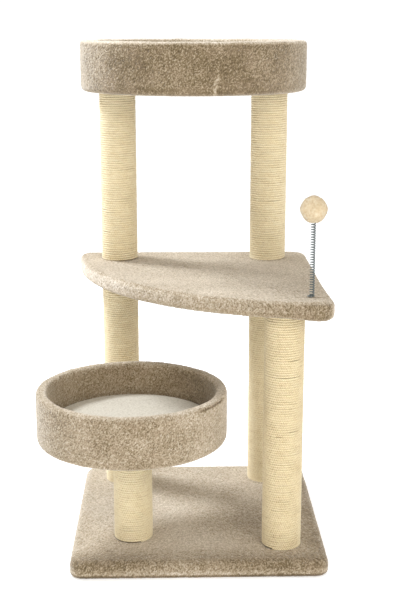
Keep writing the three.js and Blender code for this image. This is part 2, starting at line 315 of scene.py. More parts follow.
def pressed_by(posts, level):
    """How much the pile near a height is pressed flat by posts standing on it, and how much it
    stands up close round them."""
    def held(points):
        flat, close = np.zeros(len(points)), np.zeros(len(points))
        for post in posts:
            radius = half_width(post + "_rope")
            away = np.linalg.norm(points[:, :2] - centre(post + "_rope"), axis=1) - radius
            near = np.abs(points[:, 2] - level) < 4 * MM
            flat = np.maximum(flat, near * (1 - smooth(away, -3.2 * MM, -0.6 * MM)))
            round_it = smooth(away, -2 * MM, 0) * (1 - smooth(away, 1 * MM, 5 * MM))
            close = np.maximum(close, near * round_it)
        return flat, close
    return held


def base_amount(points, normals):
    """The base's pile has painted shade where it bends over the front and right edges and near the
    floor, and a painted shadow patch between the posts, and painted light in the middle and at the
    back."""
    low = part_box("base_carpet")[0]
    side = half_width("base_carpet")
    x, y = (points[:, :2] - BASE).T
    edge = np.maximum(np.abs(x), np.abs(y))
    # Painted shade where the pile bends over the front and right edges, on the edges' lower part and
    # along the floor.
    over = smooth(np.maximum(0.97 * x, -y), side - 95 * MM, side - 12 * MM)
    over *= smooth(points[:, 2], low.z + 12 * MM, low.z + 26 * MM)
    # A painted shadow patch left of the front right post.
    painted_shadow = np.exp(-((x - 0.1) ** 2 + (y + 0.07) ** 2) / 0.09 ** 2)
    under = smooth(edge, side - 6 * MM, side - 1 * MM)
    under *= 1 - smooth(points[:, 2], 12 * MM, 24 * MM)
    foot = 1 - smooth(points[:, 2], 7 * MM, 10.5 * MM)
    # Painted light: lighter in the middle and towards the back.
    painted_light = np.exp(-(x / 0.2) ** 2) * (1 - smooth(y, -0.05, 0.15)) + 0.4 * smooth(y, 0.05, 0.25)
    tone = noise(points, 60 * MM, 5) * 0.5 + 0.4 + 1.3 * painted_light
    tone -= 2.6 * over + 1.1 * under + 3.5 * foot + 2.6 * painted_shadow
    return 1 - 0.2 * over, tone, np.zeros(len(points))


def shelf_amount(points, normals):
    """The shelf's tufts are bigger over its curved front edge, which swells towards its right
    corner. The pile has painted shade in the crease, at the edge's right end and below its left end,
    and painted light towards the right and over the edge, most at its left end."""
    low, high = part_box("shelf_carpet")
    away = np.hypot(points[:, 0] - high.x, points[:, 1] - high.y)
    front = smooth(away, SHELF_RADIUS - 19 * MM, SHELF_RADIUS - 4 * MM)
    down = smooth(high.z - points[:, 2], 0, 10 * MM)
    crease = crease_line(points)
    corner = np.exp(-((points[:, 1] - low.y) / 0.13) ** 2)
    corner *= smooth(points[:, 0], high.x - 0.12, high.x - 0.01)
    right = smooth(points[:, 0], high.x - 0.3, high.x)
    under = smooth(-normals[:, 2], 0.1, 0.8)
    swell = 6.5 * MM * corner * smooth(normals[:, 2], 0.9, 0.2) + 1.8 * MM * under
    swell -= 1.3 * MM * crease
    left = 1 - smooth(points[:, 0], low.x, low.x + 0.3)
    # Painted shade in the crease, at the edge's right end and below its left end; painted light
    # towards the right and over the edge, most at its left end.
    tone = noise(points, 60 * MM, 6) * 0.5 - 2.6 * crease + 0.35 * right
    tone += front * down * (0.7 - 2.5 * right + 1.6 * left) - 2.0 * under * left
    return 1 + 0.75 * front + 0.2 * down - 0.6 * crease, tone, swell


def crease_line(points):
    """A thin crease in the shelf's carpet from the spring's foot to the right edge."""
    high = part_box("shelf_carpet")[1]
    toy = centre("spring_lower")
    line = toy[1] - 4 * MM + 2.0 * MM * np.sin(points[:, 0] / (17 * MM))
    across = np.abs(points[:, 1] - line)
    on_top = points[:, 2] > high.z - 5 * MM
    inside = smooth(points[:, 0], toy[0] - 0.06, toy[0] - 0.01)
    return on_top * inside * (1 - smooth(across, 1.2 * MM, 4.2 * MM))


def slab_profile(low, high, fold, depth, tuft, over):
    """Over a slab's top, down its edge, under it by fold, and back inside."""
    under = 9 * MM  # rounding of the lower edge
    inner = CARPET - GAP
    return fine_profile([
        ([(depth, high), (over, high)], tuft, 1),
        (arc_inset(over, high - over, over, 90, 0), tuft, 1),
        ([(0, high - over), (0, low + under)], tuft, 1),
        (arc_inset(under, low + under, under, 0, -90), tuft, 0.7),
        ([(under, low), (fold, low)], 1.8 * tuft, 0.25),
        ([(fold, low), (fold, low + inner)], inner, 0),
        ([(fold, low + inner), (inner, low + inner)], HIDDEN, 0),
        ([(inner, low + inner), (inner, high - inner)], HIDDEN, 0),
        ([(inner, high - inner), (depth, high - inner)], HIDDEN, 0),
    ])


def arc_inset(inset, y, radius, start, end):
    """An arc where sideways is measured inwards from the outline."""
    return [(-x, z) for x, z in arc(-inset, y, radius, start, end)]


def bed_profile(name, tuft):
    """The outside, rim and inside of a round bed as (radius, height) rows, clockwise."""
    low, high = levels(name + "_carpet")
    outer = half_width(name + "_carpet")
    inner = outer - 2 * CARPET - BED_RING
    lip, turn = 11 * MM, 15 * MM  # rounding of the rim and of the lower edge
    floor = levels(name + "_floor_board")[1] + GAP
    fold = outer - BED_FOLD
    # The carpet's back, against the ring, the ring's top and the floor board.
    under = low + CARPET - GAP
    outside, inside, top = outer - CARPET + GAP, inner + CARPET - GAP, high - CARPET + GAP
    return fine_profile([
        ([(inner + lip, high), (outer - lip, high)], tuft, 1),
        (arc(outer - lip, high - lip, lip, 90, 0), tuft, 1),
        ([(outer, high - lip), (outer, low + turn)], tuft, 1),
        (arc(outer - turn, low + turn, turn, 0, -90), tuft, 0.8),
        ([(outer - turn, low), (fold, low)], 1.5 * tuft, 0.3),
        ([(fold, low), (fold, under)], CARPET, 0),
        ([(fold, under), (outside, under)], HIDDEN, 0),
        ([(outside, under), (outside, top)], HIDDEN, 0),
        ([(outside, top), (inside, top)], HIDDEN, 0),
        ([(inside, top), (inside, floor)], HIDDEN, 0),
        ([(inside, floor), (inner, floor)], CARPET, 0),
        ([(inner, floor), (inner, high - lip)], tuft, 0.8),
        (arc(inner + lip, high - lip, lip, 180, 90), tuft, 1),
    ])


def bed_amount(name, seam_angle, seed, gathered, side_tone, rim_tone, inside_tone, left_tone):
    """A bed's pile has a butt seam at an angle in degrees and, where gathered is 1, a fold below
    the rim at the front right. The tones are painted light and shade on each side of the wall, and the
    fold has painted shade."""
    middle = centre(name + "_carpet")
    high = levels(name + "_carpet")[1]
    outer = half_width(name + "_carpet")

    def amount(points, normals):
        offset = points[:, :2] - middle
        direction = np.arctan2(offset[:, 1], offset[:, 0])
        angle = (direction - math.radians(seam_angle) + math.pi) % TURN - math.pi
        away = np.hypot(offset[:, 0], offset[:, 1])
        height = points[:, 2]
        wave = 3.6 * MM * np.sin(height / (15 * MM)) + 1.8 * MM * np.sin(height / (5 * MM))
        across = np.abs(angle * outer - wave)
        outside = smooth(away, outer - 14 * MM, outer - 8 * MM)
        patchy = 0.6 + 0.7 * noise(points, 16 * MM, seed + 7)
        seam = outside * (1 - smooth(across, 1.5 * MM, 8 * MM)) * patchy
        facing = np.degrees(direction)
        fold = np.exp(-((height - high + 6 * MM) / (2.4 * MM)) ** 2) * outside * gathered
        fold *= smooth(facing, -50, -42) * (1 - smooth(facing, -22, -12))
        left = smooth(-offset[:, 0] / outer, 0.55, 0.97) * outside
        right = smooth(offset[:, 0] / outer, 0.2, 0.8) * outside
        edge = smooth(height, high - 16 * MM, high - 6 * MM) * outside
        rough = noise(points, 60 * MM, seed + 3)
        rim = smooth(height, high - 9 * MM, high - 2 * MM)
        inside = (1 - smooth(away, outer - 26 * MM, outer - 18 * MM)) * (1 - rim)
        # Painted light and shade: the fold is darkened, the rim, outer wall, left and right sides and
        # inside each get their own lightness, and the inside's right has a painted shadow.
        tone = noise(points, 45 * MM, seed) * 0.6 + 2.6 * seam - 3.6 * fold
        tone += rim * rim_tone + outside * (1 - rim) * side_tone
        tone += left * left_tone + 0.8 * right * gathered
        tone += inside * (inside_tone - 1.7 * smooth(offset[:, 0], 0, 0.18))
        swell = (1.0 + 1.3 * noise(points, 50 * MM, seed + 5)) * MM * rim - 3.0 * MM * fold
        swell += 2.6 * MM * smooth(-normals[:, 2], 0.1, 0.8)
        return 0.88 + 0.7 * seam + 0.6 * edge * (0.5 + 0.5 * rough), tone, swell
    return amount


# ---- Materials ----

def linear(red, green, blue):
    """A screen colour, 0 to 255, as the renderer's linear colour."""
    def one(value):
        value /= 255
        return value / 12.92 if value <= 0.04045 else ((value + 0.055) / 1.055) ** 2.4
    return (one(red), one(green), one(blue), 1)


class Look:
    """A material whose nodes are added one by one."""

    def __init__(self, name, **settings):
        self.material = bpy.data.materials.new(name)
        self.material.use_nodes = True
        self.tree = self.material.node_tree
        self.shader = self.tree.nodes["Principled BSDF"]
        for key, value in settings.items():
            self.shader.inputs[key.replace("_", " ")].default_value = value

    def node(self, kind, settings=None, **inputs):
        """A node's outputs. Its inputs are given by name, or by number as in _0."""
        made = self.tree.nodes.new("ShaderNode" + kind)
        for key, value in (settings or {}).items():
            setattr(made, key, value)
        for key, value in inputs.items():
            socket = made.inputs[int(key[1:]) if key[0] == "_" else key.replace("_", " ")]
            if isinstance(value, bpy.types.NodeSocket):
                self.tree.links.new(value, socket)
            else:
                socket.default_value = value
        return made.outputs

    def place(self, scale=(1, 1, 1)):
        """Where the surface is, in metres."""
        where = self.node("TexCoord")["Object"]
        return self.node("Mapping", Vector=where, Scale=scale)["Vector"]

    def spots(self, size, detail, rough, scale=(1, 1, 1), where=None):
        """Noise whose spots are about size metres across."""
        where = where or self.place(scale)
        return self.node(
            "TexNoise", Vector=where, Scale=1 / size, Detail=detail, Roughness=rough)["Fac"]

    def attribute(self, name):
        return self.node("Attribute", {"attribute_name": name})["Fac"]

    def math(self, operation, a, b=0.0, clamp=False):
        return self.node("Math", {"operation": operation, "use_clamp": clamp}, _0=a, _1=b)["Value"]

    def total(self, *terms):
        """The sum of (value, share) terms."""
        sums = [self.math("MULTIPLY", value, share) for value, share in terms]
        result = sums[0]
        for term in sums[1:]:
            result = self.math("ADD", result, term)
        return result

    def ramp(self, value, stops):
        """Colours at positions along value."""
        made = self.tree.nodes.new("ShaderNodeValToRGB")
        elements = made.color_ramp.elements
        while len(elements) < len(stops):
            elements.new(0.5)
        for element, (position, colour) in zip(elements, stops):
            element.position = position
            element.color = colour
        self.tree.links.new(value, made.inputs["Fac"])
        return made.outputs["Color"]

    def mix(self, factor, a, b):
        return self.node("Mix", {"data_type": "RGBA"}, _0=factor, _6=a, _7=b)[2]

    def bump(self, height, strength, distance):
        return self.node("Bump", Height=height, Strength=strength, Distance=distance)["Normal"]

    def finish(self, colour, normal=None, roughness=None):
        self.tree.links.new(colour, self.shader.inputs["Base Color"])
        if normal is not None:
            self.tree.links.new(normal, self.shader.inputs["Normal"])
        if roughness is not None:
            self.tree.links.new(roughness, self.shader.inputs["Roughness"])
        return self.material


def carpet_look():
    """Heathered beige pile: each tuft has its own shade, and the low tufts have painted shade, darker
    in the gaps between tufts.
    """
    look = Look("carpet_pile", Roughness=0.95, Sheen_Weight=0.6, Sheen_Roughness=0.5)
    look.shader.inputs["Sheen Tint"].default_value = linear(255, 246, 232)
    # The pile attribute paints shade into the low tufts; the tone attribute holds random tone and
    # painted light and shade.
    pile = look.attribute("pile")
    tone = look.attribute("tone")
    speck = look.spots(2.5 * MM, 2.0, 0.6, (1, 1, 0.6))
    fine = look.spots(1.1 * MM, 2.0, 0.6)
    value = look.total((pile, 0.42), (speck, 0.72), (fine, 0.3), (tone, 0.1))
    value = look.math("SUBTRACT", value, 0.17)
    colour = look.ramp(value, [
        (0.12, linear(82, 66, 42)),
        (0.34, linear(120, 102, 72)),
        (0.55, linear(168, 151, 125)),
        (0.74, linear(198, 184, 163)),
        (0.95, linear(228, 217, 201)),
    ])
    warm = look.spots(38 * MM, 3.0, 0.6)
    warmed = look.mix(0.14, colour, linear(186, 163, 140))
    where = look.ramp(warm, [(0.42, (0, 0, 0, 1)), (0.66, (1, 1, 1, 1))])
    return look.finish(look.mix(where, colour, warmed), look.bump(fine, 0.6, 0.5 * MM))


def sisal_look():
    """Twisted straw-coloured rope: slanting strands, fine fibres and painted shade at the joins."""
    look = Look("sisal_rope", Roughness=0.82, Sheen_Weight=0.15, Sheen_Roughness=0.5)
    where = look.node("UVMap", {"uv_map": "UVMap"})["UV"]
    split = look.node("SeparateXYZ", Vector=where)
    slant = look.math("ADD", split["X"], split["Y"])
    coarse = look.node("Mapping", Vector=where, Scale=(1, 2, 1))["Vector"]
    wobble = look.spots(0.35, 2.0, 0.5, where=coarse)
    phase = look.total((slant, 3 * TURN), (wobble, 3.0))
    strand = look.math("ADD", look.math("MULTIPLY", look.math("SINE", phase), 0.5), 0.5)
    drawn_out = look.node("Mapping", Vector=where, Scale=(1.2, 14, 1))["Vector"]
    fibre = look.node("TexNoise", Vector=drawn_out, Scale=2.2, Detail=4.0, Roughness=0.65)["Fac"]
    broad = look.spots(22 * MM, 3.0, 0.6)
    streak = look.spots(5 * MM, 2.0, 0.6, (0.1, 0.1, 1))
    speck = look.spots(3.2 * MM, 2.0, 0.6, (0.6, 0.6, 1))
    value = look.total((fibre, 0.5), (strand, 0.28), (broad, 0.15), (streak, 0.2), (speck, 0.4))
    value = look.math("SUBTRACT", look.math("ADD", value, look.attribute("tone")), 0.14)
    # Painted shade: the joins between turns, where the rope's surface turns inwards, are unevenly
    # darkened.
    join = look.math("SUBTRACT", look.math("ABSOLUTE", split["Y"]), 0.13)
    join = look.math("MULTIPLY", join, 8.0, True)
    uneven = look.spots(26 * MM, 2.0, 0.6, (0.6, 0.6, 3))
    uneven = look.math("MULTIPLY", look.math("SUBTRACT", uneven, 0.55), 5.0, True)
    share = look.math("ADD", look.math("MULTIPLY", uneven, 0.24), 0.13)
    value = look.math("SUBTRACT", value, look.math("MULTIPLY", join, share))
    colour = look.ramp(value, [
        (0.22, linear(150, 120, 74)),
        (0.39, linear(206, 183, 134)),
        (0.56, linear(239, 221, 180)),
        (0.85, linear(250, 240, 208)),
    ])
    return look.finish(colour, look.bump(look.total((strand, 0.8), (fibre, 0.7)), 0.85, 1.0 * MM))


def fleece_look():
    """Pale curly fleece."""
    look = Look("pad_fleece", Roughness=0.95, Sheen_Weight=0.5, Sheen_Roughness=0.5)
    look.shader.inputs["Sheen Tint"].default_value = linear(255, 250, 240)
    curl = look.node("TexVoronoi", {"feature": "SMOOTH_F1"}, Vector=look.place(),
                     Scale=1 / (4.2 * MM), Smoothness=0.6)["Distance"]
    fine = look.spots(1.3 * MM, 3.0, 0.6)
    value = look.math("ADD", look.total((curl, -0.55), (fine, 0.5)), 0.5)
    colour = look.ramp(value, [
        (0.1, linear(150, 139, 119)),
        (0.35, linear(182, 173, 154)),
        (0.65, linear(204, 196, 180)),
    ])
    return look.finish(colour, look.bump(value, 0.5, 0.9 * MM))


def felt_look():
    """Grey-brown felt."""
    look = Look("felt_lining", Roughness=0.95, Sheen_Weight=0.2)
    fibre = look.spots(0.9 * MM, 4.0, 0.7)
    broad = look.spots(14 * MM, 3.0, 0.6)
    value = look.total((fibre, 0.7), (broad, 0.3))
    colour = look.ramp(value, [(0.35, linear(96, 88, 76)), (0.65, linear(148, 139, 124))])
    return look.finish(colour, look.bump(fibre, 0.4, 0.4 * MM))


def board_look():
    """Pressed wood board: flat chips of several browns."""
    look = Look("particle_board", Roughness=0.75)
    chips = look.node("TexVoronoi", {"feature": "F1"}, Vector=look.place((1, 0.45, 1.6)),
                      Scale=1 / (3.2 * MM), Randomness=1.0)
    chip = look.node("SeparateColor", Color=chips["Color"])["Red"]
    dust = look.spots(0.8 * MM, 3.0, 0.7)
    value = look.total((chip, 0.6), (dust, 0.4))
    colour = look.ramp(value, [
        (0.2, linear(150, 116, 76)), (0.5, linear(196, 160, 114)), (0.8, linear(222, 192, 148)),
    ])
    return look.finish(colour, look.bump(value, 0.25, 0.3 * MM))


def wood_look():
    """Pale wood: rings about an upright axis and fibres along it."""
    look = Look("plug_wood", Roughness=0.6)
    grain = look.node("TexWave", {"wave_type": "RINGS", "rings_direction": "Z"},
                      Vector=look.place(), Scale=70.0, Distortion=3.0, Detail=3.0)["Fac"]
    fibre = look.spots(1.5 * MM, 3.0, 0.6, (1, 1, 0.08))
    value = look.total((grain, 0.5), (fibre, 0.5))
    colour = look.ramp(value, [(0.25, linear(190, 154, 104)), (0.75, linear(228, 202, 156))])
    return look.finish(colour, look.bump(fibre, 0.2, 0.2 * MM))


def card_look():
    """Cardboard tube: soft bands across it and short paper fibres."""
    look = Look("tube_card", Roughness=0.85)
    fibre = look.spots(1.6 * MM, 4.0, 0.7, (1, 1, 2.5))
    ply = look.node("TexWave", {"bands_direction": "Z"},
                    Vector=look.place(), Scale=6.0, Distortion=1.0)["Fac"]
    value = look.total((fibre, 0.8), (ply, 0.2))
    colour = look.ramp(value, [(0.3, linear(146, 112, 74)), (0.7, linear(190, 156, 112))])
    return look.finish(colour, look.bump(fibre, 0.2, 0.2 * MM))


def steel_look(name, roughness, tint, metallic):
    """Plated steel with faint clouding and fine marks."""
    look = Look(name, Metallic=metallic)
    cloud = look.spots(5 * MM, 4.0, 0.6)
    mark = look.spots(0.6 * MM, 2.0, 0.5, (1, 1, 0.3))
    colour = look.ramp(cloud, [(0.3, linear(*[c * 0.8 for c in tint])), (0.7, linear(*tint))])
    shine = look.ramp(mark, [
        (0.3, (roughness - 0.08,) * 3 + (1,)), (0.7, (roughness + 0.1,) * 3 + (1,)),
    ])
    return look.finish(colour, look.bump(mark, 0.1, 0.05 * MM), shine)


def plush_look():
    """Cream fibres, darker between the tufts."""
    look = Look("pompom_plush", Roughness=0.9, Sheen_Weight=0.5, Sheen_Roughness=0.45)
    tuft = look.spots(6 * MM, 3.0, 0.6)
    fine = look.spots(0.9 * MM, 2.0, 0.6)
    value = look.total((tuft, 0.6), (fine, 0.4))
    colour = look.ramp(value, [
        (0.3, linear(204, 178, 136)), (0.5, linear(228, 208, 172)), (0.68, linear(245, 236, 216)),
    ])
    return look.finish(colour, look.bump(fine, 0.4, 0.4 * MM))


def dress(obj, material):
    obj.data.materials.clear()
    obj.data.materials.append(material)
    return obj


CARPET_LOOK = carpet_look()
SISAL_LOOK = sisal_look()
FLEECE_LOOK = fleece_look()
FELT_LOOK = felt_look()
BOARD_LOOK = board_look()
WOOD_LOOK = wood_look()
CARD_LOOK = card_look()
ZINC_LOOK = steel_look("zinc_steel", 0.34, (196, 200, 204), 1.0)
SPRING_LOOK = steel_look("spring_steel", 0.45, (126, 135, 135), 0.45)
PLUSH_LOOK = plush_look()

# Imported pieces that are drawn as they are.
for node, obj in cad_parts.items():
    for endings, look in (
        (("_board", "_ring"), BOARD_LOOK),
        ("_lining", FELT_LOOK),
        ("_tube", CARD_LOOK),
        ("_plug", WOOD_LOOK),
        (("_bolt", "_bolt_left", "_bolt_right", "_stud", "_screw"), ZINC_LOOK),
        (("_staple_left", "_staple_front"), ZINC_LOOK),
    ):
        if node.endswith(endings):
            dress(obj, look)


# ---- Carpets ----

BASE_DEPTH, SHELF_DEPTH = 298 * MM, 244 * MM  # how far in the rings on top are drawn


def slab_carpet(name, outline, fold, depth, tuft, over, amount, posts, seed):
    """The carpet over the base or the shelf, turned under it by fold."""
    low, high = levels(name + "_carpet")
    pile = carpet_piece(
        name + "_pile", slab_profile(low, high, fold, depth, tuft, over), outline, False,
        amount, pressed_by(posts, high), seed)
    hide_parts(name + "_carpet")
    dress(pile, CARPET_LOOK)


def bed_carpet(name, seam_angle, seed, tuft, **tones):
    """The carpet over a round bed's wall, inside and out."""
    middle = centre(name + "_carpet")
    pile = carpet_piece(
        name + "_pile", bed_profile(name, tuft), lambda radius: circle(middle, radius), True,
        bed_amount(name, seam_angle, seed, **tones), pressed_by([], 0), seed)
    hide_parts(name + "_carpet")
    dress(pile, CARPET_LOOK)


slab_carpet("base", rounded_square, CARPET + 50 * MM, BASE_DEPTH, 2.35 * MM, 19 * MM,
            base_amount, POSTS[:4], 11)
slab_carpet("shelf", quarter_disc, 35 * MM, SHELF_DEPTH, 2.15 * MM, 13 * MM,
            shelf_amount, POSTS[4:], 12)
# The beds' side, rim, inside and left tones are painted light and shade.
bed_carpet("bowl", 66, 13, 2.0 * MM,
           gathered=1, side_tone=-0.7, rim_tone=0.0, inside_tone=-0.4, left_tone=-0.6)
bed_carpet("perch", -80.5, 14, 2.1 * MM,
           gathered=0, side_tone=-2.0, rim_tone=1.4, inside_tone=-0.4, left_tone=0.0)


# ---- Rope ----

ROPE_STEPS = 72  # in one turn
SECTION = np.radians([0, 36, 72, 112, 180, -112, -72, -36])  # corners round the rope, from outside
FLAT = 0.9  # the rope's section is a little squarer than round
# Painted shade: the front right post's rope is drawn a little darker.
ROPE_PAINTED_SHADE = {"front_right_post": -0.06}


def wavering(random, t, turns, per_turn, spare, spread):
    """Random values along the rope, per_turn in each turn, joined by straight lines."""
    count = int(turns * per_turn) + spare
    return np.interp(t, np.arange(count) / per_turn, random.normal(0, spread, count))


def rope_line(post, t, turns, random, seed):
    """Angle, height and radius of the rope's middle line after t turns, and half its thickness.
    Some turns lie apart or higher at a random place, and all of them waver a little."""
    low, high = levels(post + "_rope")
    angle = TURN * t + seed
    height = low + ROPE * np.clip(t, 0.5, turns - 0.5)
    place = np.column_stack([np.cos(angle) * 2, np.sin(angle) * 2, height / (30 * MM)])
    shift = noise(place, 1.0, seed) * 0.5 * MM + wavering(random, t, int(turns), 1, 3, 0.06) * MM
    for _ in range(int(turns / 8)):
        at, facing = low + (high - low) * random.uniform(0.04, 0.96), random.uniform(0, TURN)
        spread, size = random.uniform(0.2, 0.7), random.uniform(0.15, 0.7) * MM
        window = np.exp(-(((angle - facing + math.pi) % TURN - math.pi) / spread) ** 2)
        apart = np.tanh((height - at) / (1.5 * MM)) * np.exp(-((height - at) / (24 * MM)) ** 2)
        shift += size * window * apart
    ends = smooth(height, low, low + 14 * MM) * (1 - smooth(height, high - 14 * MM, high))
    inward = wavering(random, t, turns, 6, 9, 0.13)
    radius = half_width(post + "_rope") - ROPE / 2 + inward * MM - 0.1 * MM
    half = ROPE / 2 * (1 + 0.03 * wavering(random, t, turns, 9, 12, 1))
    return angle, height + shift * ends, radius, half


def rope_faces(count):
    """Quads along the rope, and three to close each of its cut ends."""
    sides = len(SECTION)
    ring, step = np.meshgrid(np.arange(sides), np.arange(count), indexing="xy")
    a = step * sides + ring
    b = step * sides + (ring + 1) % sides
    faces = [np.stack([a, a + sides, b + sides, b], axis=2).reshape(-1, 4)]
    end = np.array([[0, 1, 2, 3], [0, 3, 4, 5], [0, 5, 6, 7]])
    return np.vstack(faces + [end, (end + count * sides)[:, ::-1]])


def rope_piece(post, seed):
    """One rope wound in close turns from a post's foot to its top."""
    random = np.random.default_rng(seed)
    low, high = levels(post + "_rope")
    middle = centre(post + "_rope")
    outer = half_width(post + "_rope")
    turns = (high - low) / ROPE
    count = round(turns * ROPE_STEPS)
    t = np.arange(count + 1) / ROPE_STEPS
    angle, height, radius, half = rope_line(post, t, turns, random, seed)

    out = (np.sign(np.cos(SECTION)) * np.abs(np.cos(SECTION)) ** FLAT)[None, :] * half[:, None]
    up = np.sin(SECTION)[None, :] * half[:, None] * 0.99
    r = np.minimum(radius[:, None] + out, outer + 0.25 * MM)
    x = middle[0] + r * np.cos(angle)[:, None]
    y = middle[1] + r * np.sin(angle)[:, None]
    z = np.clip(height[:, None] + up, low, high)
    points = np.stack([x, y, z], axis=2).reshape(-1, 3)
    obj = mesh_object(post + "_sisal", points, rope_faces(count))

    # Along the rope in lengths of 15 mm, and round it from -0.5 to 0.5, with 0 outside.
    uv = obj.data.uv_layers.new(name="UVMap")
    corners = np.zeros(len(obj.data.loops), np.int32)
    obj.data.loops.foreach_get("vertex_index", corners)
    along = t * TURN * (outer - ROPE / 2) / (15 * MM)
    around = SECTION / TURN
    sides = len(SECTION)
    coords = np.column_stack([along[corners // sides], around[corners % sides]])
    uv.data.foreach_set("uv", coords.astype(np.float32).ravel())
    # Each post's painted shade goes in as a tone attribute.
    shade = obj.data.attributes.new("tone", "FLOAT", "POINT")
    shade.data.foreach_set("value", np.full(len(points), ROPE_PAINTED_SHADE.get(post, 0.0), np.float32))
    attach(obj, "root")
    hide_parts(post + "_rope")
    dress(obj, SISAL_LOOK)


for seed, post in enumerate(POSTS, 21):
    rope_piece(post, seed)


# ---- Pads ----

def pad_piece(name, seed):
    """A thin fleece cushion: crowned top, rounded edge and a sewn line round its side."""
    low, high = levels(name + "_pad")
    middle = centre(name + "_pad")
    radius = half_width(name + "_pad")
    soft, turn, hub = 9 * MM, 5 * MM, 2 * MM  # rounding above and below, and the innermost ring
    step = 2.6 * MM
    profile = fine_profile([
        ([(hub, high), (radius - soft, high)], step, 1),
        (arc(radius - soft, high - soft, soft, 90, 0), step, 1),
        ([(radius, high - soft), (radius, low + turn)], step, 0.8),
        (arc(radius - turn, low + turn, turn, 0, -90), step, 0.4),
        ([(radius - turn, low), (hub, low)], HIDDEN, 0),
    ])
    rings, piles = [], []
    for sideways, height, spacing, pile in profile:
        line = circle(middle, sideways)
        count = max(FEWEST, round(perimeter(line) / spacing))
        ring = resampled(line, count)
        rings.append(np.column_stack([ring, np.full(count, height)]))
        piles.append(np.full(count, pile))
    points, faces = ring_surface(rings, False)
    piles = np.concatenate(piles + [np.array([1.0, 0.0])])
    random = np.random.default_rng(seed)
    away = np.linalg.norm(points[:, :2] - middle, axis=1) / radius
    top = smooth(points[:, 2], low + 8 * MM, high)
    crown = 2.6 + 4.4 * (1 - away ** 2) - 2.2 * smooth(away, 0.86, 1.0)
    dents = noise(points, 75 * MM, seed) * 1.3 + noise(points, 26 * MM, seed + 1) * 0.5
    curl = noise(points, 5 * MM, seed + 2) * 0.45 + (random.random(len(points)) - 0.5) * 0.6
    points[:, 2] += (crown + dents * (1 - away ** 4)) * top * MM + curl * piles * MM * top
    seam = np.exp(-((points[:, 2] - (low + 10 * MM)) / (1.6 * MM)) ** 2) * (away > 0.97)
    outwards = (points[:, :2] - middle) / np.maximum(away, 0.05)[:, None] / radius
    points[:, :2] -= outwards * (seam * 1.4 * MM)[:, None]
    obj = mesh_object(name + "_cushion", points, faces)
    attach(obj, "root")
    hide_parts(name + "_pad")
    dress(obj, FLEECE_LOOK)


pad_piece("bowl", 31)
pad_piece("perch", 32)


# ---- Spring ----

COIL_RADIUS, WIRE, COIL_PITCH = 4.8 * MM, 1.35 * MM, 5.7 * MM  # WIRE is the wire's radius
FOOT_RADIUS, FOOT_RISE = 6.4 * MM, 1.9 * MM
COIL_STEPS, WIRE_SIDES = 32, 10
TOY = (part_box("spring_lower")[0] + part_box("spring_lower")[1]) / 2
COIL_START = levels("shelf_carpet")[1] + GAP + WIRE


def coil_points(turns):
    """The wire's middle line: one wider turn on the carpet below 0, then an even coil."""
    angle = TURN * turns
    blend = smooth(turns, -0.12, 0.12)
    radius = FOOT_RADIUS + (COIL_RADIUS - FOOT_RADIUS) * blend
    rise = np.where(turns < 0, FOOT_RISE * (1 + turns), FOOT_RISE + COIL_PITCH * turns)
    return np.column_stack([
        TOY.x + COIL_RADIUS - radius + radius * np.cos(angle),
        TOY.y + radius * np.sin(angle),
        COIL_START + rise,
    ])


def wire_piece(name, line):
    """A round wire along a line of points."""
    along = np.gradient(line, axis=0)
    along /= np.linalg.norm(along, axis=1)[:, None]
    side = np.cross(along, [0, 0, 1.0])
    side /= np.linalg.norm(side, axis=1)[:, None]
    up = np.cross(side, along)
    angles = np.arange(WIRE_SIDES) / WIRE_SIDES * TURN
    rings = [
        p + WIRE * (np.cos(angles)[:, None] * s + np.sin(angles)[:, None] * u)
        for p, s, u in zip(line, side, up)
    ]
    points, faces = ring_surface(rings, False)
    return mesh_object(name, points, faces[:, ::-1])


def turns_at(height):
    return (height - COIL_START - FOOT_RISE) / COIL_PITCH


SPRING = ["foot", "lower", "middle", "upper", "tip"]
middles = [sum(levels("spring_" + part)) / 2 for part in SPRING]
cuts = [-1.0] + [turns_at(z) for z in middles[1:-1]] + [turns_at(levels("spring_tip")[1])]
for k in range(4):
    steps = round((cuts[k + 1] - cuts[k]) * COIL_STEPS)
    line = coil_points(np.linspace(cuts[k], cuts[k + 1], steps + 1))
    piece = wire_piece("spring_coil_%d" % (k + 1), line)
    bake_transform(piece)
    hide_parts(*(["spring_foot", "spring_lower"] if k == 0 else ["spring_" + SPRING[k + 1]]))
    dress(piece, SPRING_LOOK)


# ---- Pompom ----

FIBRES = 17000


def unit(vectors):
    return vectors / np.linalg.norm(vectors, axis=1)[:, None]


def lumpy(directions, outer):
    """The ball's radius in each direction."""
    lumps = noise(directions, 0.42, 42) * 0.045 + noise(directions, 0.16, 43) * 0.02
    return outer * (0.93 + lumps)


def pompom_ball(middle, outer, random):
    bpy.ops.mesh.primitive_ico_sphere_add(subdivisions=6, radius=1)
    ball = bpy.context.object
    ball.name = ball.data.name = "pompom_fluff"
    spots = np.zeros(len(ball.data.vertices) * 3, np.float32)
    ball.data.vertices.foreach_get("co", spots)
    spots = spots.reshape(-1, 3).astype(float)
    tufted = lumpy(spots, outer) + random.normal(0, 0.22 * MM, len(spots))
    points = middle + spots * tufted[:, None]
    ball.data.vertices.foreach_set("co", points.astype(np.float32).ravel())
    ball.data.polygons.foreach_set("use_smooth", np.ones(len(ball.data.polygons), bool))
    ball.data.update()
    return ball


